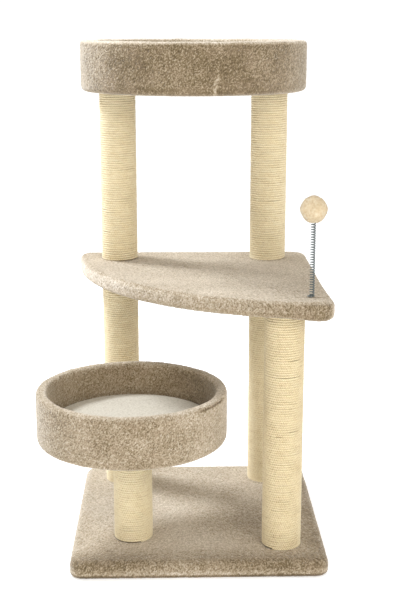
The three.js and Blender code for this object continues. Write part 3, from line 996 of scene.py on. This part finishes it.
def pompom_fibres(middle, outer, random):
    """Short thin pyramids, spread evenly over the ball and leaning every way."""
    k = np.arange(FIBRES)
    z = 1 - 2 * (k + 0.5) / FIBRES
    turn = k * math.pi * (3 - math.sqrt(5))
    across = np.sqrt(1 - z * z)
    root = np.column_stack([across * np.cos(turn), across * np.sin(turn), z])
    root = unit(root + random.normal(0, 0.012, root.shape))
    lean = unit(root + random.normal(0, 0.28, root.shape))
    start = middle + root * (lumpy(root, outer) - 0.6 * MM)[:, None]
    length = random.uniform(1.4, 3.1, FIBRES) * MM
    side = unit(np.cross(lean, random.normal(0, 1, root.shape)))
    other = np.cross(lean, side)
    wide = random.uniform(0.16, 0.26, FIBRES)[:, None] * MM
    tips = start + lean * length[:, None]
    reach = np.linalg.norm(tips - middle, axis=1)
    tips = middle + (tips - middle) * np.minimum(1, (outer + 1.5 * MM) / reach)[:, None]
    points = np.stack([
        start + side * wide,
        start + (-0.5 * side + 0.87 * other) * wide,
        start + (-0.5 * side - 0.87 * other) * wide,
        tips,
    ], axis=1).reshape(-1, 3)
    base = 4 * k[:, None]
    faces = np.vstack([base + np.array(f) for f in ((0, 1, 3), (1, 2, 3), (2, 0, 3), (0, 2, 1))])
    return mesh_object("pompom_fibres", points, faces)


def pompom():
    """A lumpy ball with many short pointed fibres standing out of it."""
    low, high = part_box("pompom")
    outer = (high.x - low.x) / 2
    middle = np.array((low + high) / 2)
    middle[2] = high.z - outer
    random = np.random.default_rng(41)
    ball = pompom_ball(middle, outer, random)
    fibres = pompom_fibres(middle, outer, random)
    for piece in (ball, fibres):
        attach(piece, "toy_tip")
        dress(piece, PLUSH_LOOK)
    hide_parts("pompom")


pompom()


# ---- Floor, light and camera ----

LIT_POINT = (0, 0, 0.6)
LENS = 68.158
CAMERA_RIGHT, CAMERA_AWAY, CAMERA_HEIGHT = -0.0540, 2.7601, 1.2618  # from the base's middle
CAMERA_DOWN, CAMERA_TURNED = 0.238635, 0.024304  # radians

FLOOR_TOP, FLOOR_THICK = -0.5 * MM, 10 * MM


def stage():
    """A plain white floor with a faint glow of its own, so that it meets the white surround
    without an edge."""
    ring = [
        np.column_stack([circle(BASE, radius), np.full(CIRCLE_POINTS, FLOOR_TOP)])
        for radius in (1.0, 4.0, 30.0)
    ]
    points, faces = ring_surface(ring + [r - [0, 0, FLOOR_THICK] for r in ring[::-1]], False)
    floor = mesh_object("floor", points, faces)
    look = Look("floor_paper", Roughness=0.9)
    grain = look.spots(0.35, 2.0, 0.5)
    colour = look.ramp(grain, [(0.3, (0.815, 0.815, 0.815, 1)), (0.7, (0.825, 0.825, 0.825, 1))])
    look.shader.inputs["Emission Color"].default_value = (1, 1, 1, 1)
    look.shader.inputs["Emission Strength"].default_value = 0.5
    dress(floor, look.finish(colour))


def soft_light(name, place, size, power, colour):
    """A round lamp that faces the middle of the tree."""
    light = bpy.data.lights.new(name, "AREA")
    light.shape = "DISK"
    light.size = size
    light.energy = power
    light.color = colour
    obj = link(bpy.data.objects.new(name, light))
    obj.location = place
    aim = Vector(LIT_POINT) - Vector(place)
    obj.rotation_euler = aim.to_track_quat("-Z", "Y").to_euler()


def surround():
    """White all round, a little brighter low down where the floor meets it."""
    world = bpy.data.worlds.new("studio")
    world.use_nodes = True
    tree = world.node_tree
    split = tree.nodes.new("ShaderNodeSeparateXYZ")
    fade = tree.nodes.new("ShaderNodeValToRGB")
    for element, height, white in zip(fade.color_ramp.elements, (0.05, 0.25), (1, 0.78)):
        element.position = height
        element.color = (white, white, white, 1)
    tree.links.new(tree.nodes.new("ShaderNodeTexCoord").outputs["Generated"], split.inputs[0])
    tree.links.new(split.outputs["Z"], fade.inputs["Fac"])
    tree.links.new(fade.outputs["Color"], tree.nodes["Background"].inputs["Color"])
    tree.nodes["Background"].inputs["Strength"].default_value = 1.08
    bpy.context.scene.world = world


def camera():
    """From the front at about the height of the tree's top, turned slightly right and down."""
    lens = bpy.data.cameras.new("camera")
    lens.lens = LENS
    lens.sensor_width = 36
    lens.clip_start = 0.05
    obj = link(bpy.data.objects.new("camera", lens))
    obj.location = (BASE[0] + CAMERA_RIGHT, BASE[1] - CAMERA_AWAY, CAMERA_HEIGHT)
    obj.rotation_euler = (math.pi / 2 - CAMERA_DOWN, 0, -CAMERA_TURNED)
    bpy.context.scene.camera = obj


stage()
surround()
soft_light("key", (-1.85, 1.07, 2.98), 0.9, 116, (0.91, 0.98, 1.09))
soft_light("front", (1.1, -2.7, 1.95), 1.2, 21, (1.0, 0.96, 0.88))
camera()
bpy.context.scene.view_settings.view_transform = "Standard"
